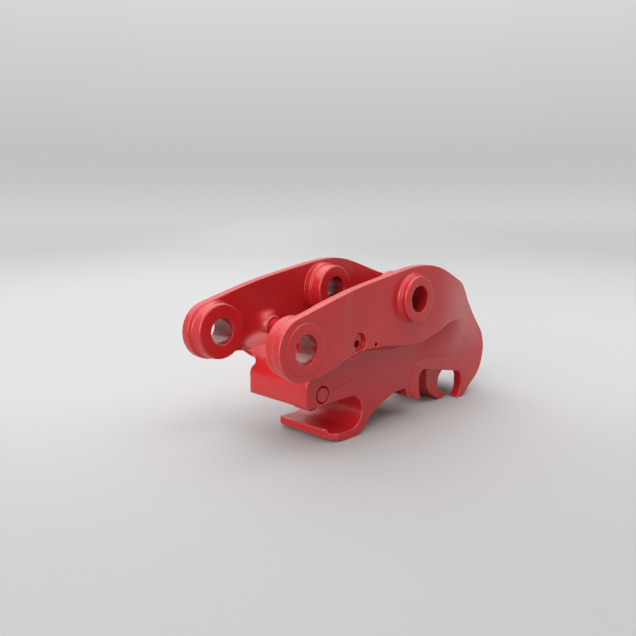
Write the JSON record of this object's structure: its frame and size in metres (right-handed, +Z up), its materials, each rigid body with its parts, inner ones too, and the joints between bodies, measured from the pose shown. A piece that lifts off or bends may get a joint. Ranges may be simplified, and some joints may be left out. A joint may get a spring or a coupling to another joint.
{
  "type": "quick hitch",
  "caption": "Excavator quick hitch: cast body with paired ears for the arm and link pins, an open front jaw with a sprung latch, and a rear hook swung by a hydraulic cylinder.",
  "frame": {"origin": "on the ground under the middle of the hitch, which stands on its front jaw and rear legs", "axes": "+X towards the rear hook, along the hitch; +Y across it, away from the picture's near side; +Z up"},
  "size_m": [0.9764, 0.408, 0.4493],
  "materials": {
    "red_paint": "glossy red paint over cast steel",
    "machined_steel": "machined",
    "chromed_rod": "hard chromed",
    "black_steel": "blackened and oiled",
    "zinc_plated_steel": "zinc plated",
    "bronze": "turned bronze",
    "seal_rubber": "matt"
  },
  "bodies": {
    "root": {"hitch_body": "red_paint", "front_latch_pin": "red_paint", "latch_pin_grub_screw": "black_steel", "latch_spring_far": "machined_steel", "latch_spring_near": "machined_steel", "latch_ram_body": "machined_steel", "latch_ram_adaptor": "zinc_plated_steel", "hook_pivot_pin": "machined_steel", "pivot_keeper_plate": "red_paint", "keeper_bolt_1": "zinc_plated_steel", "keeper_bolt_2": "zinc_plated_steel", "keeper_bolt_3": "zinc_plated_steel", "grease_nipple": "zinc_plated_steel", "cylinder_anchor_pin": "red_paint", "anchor_lock_screw_far": "black_steel", "anchor_lock_screw_near": "black_steel"},
    "hook": {"rear_hook": "red_paint", "hook_bush_far": "bronze", "hook_bush_near": "bronze", "thrust_washer_far": "bronze", "thrust_washer_near": "bronze"},
    "latch": {"front_latch": "red_paint"},
    "plunger": {"latch_ram_plunger": "chromed_rod"},
    "barrel": {"cylinder_barrel": "red_paint", "cylinder_base_bush": "bronze", "cylinder_gland": "black_steel", "rod_wiper": "seal_rubber", "stop_tube": "machined_steel", "check_valve_block": "zinc_plated_steel", "block_bolt_1": "black_steel", "block_bolt_2": "black_steel", "block_bolt_3": "black_steel", "block_bolt_4": "black_steel", "check_valve_cartridge": "black_steel", "close_port_adaptor": "zinc_plated_steel", "open_port_adaptor": "zinc_plated_steel", "rod_side_pipe": "zinc_plated_steel"},
    "rod": {"piston": "machined_steel", "piston_seal_1": "seal_rubber", "piston_seal_2": "seal_rubber", "piston_nut": "zinc_plated_steel", "piston_rod": "chromed_rod", "rod_eye": "red_paint", "rod_eye_bush": "bronze", "rod_end_pin": "machined_steel", "rod_pin_clip_far": "black_steel", "rod_pin_clip_near": "black_steel"}
  },
  "joints": [
    {"name": "hook_swing", "type": "hinge", "parent": "root", "child": "hook", "pos_m": [0.28475, 0, 0.245], "axis": [0, 1, 0], "range_deg": [0, 28]},
    {"name": "latch_swing", "type": "hinge", "parent": "root", "child": "latch", "pos_m": [-0.27325, 0, 0.141], "axis": [0, 1, 0], "range_deg": [-44, 0], "stiffness_Nm_per_rad": 6, "springref_deg": 20.05},
    {"name": "plunger_slide", "type": "slide", "parent": "root", "child": "plunger", "axis": [-1, 0, 0], "range_m": [0, 0.021]},
    {"name": "cylinder_tilt", "type": "hinge", "parent": "root", "child": "barrel", "pos_m": [-0.21625, 0, 0.277], "axis": [0, 1, 0], "range_deg": [-1, 1]},
    {"name": "rod_slide", "type": "slide", "parent": "barrel", "child": "rod", "axis": [0.976, 0, -0.2178], "range_m": [-0.0388, 0]}
  ],
  "couplings": [
    {"joint": "plunger_slide", "follows": "latch_swing", "m_per_rad": -0.0273},
    {"joint": "cylinder_tilt", "follows": "hook_swing", "ratio": -0.002},
    {"joint": "rod_slide", "follows": "hook_swing", "m_per_rad": -0.07919}
  ]
}
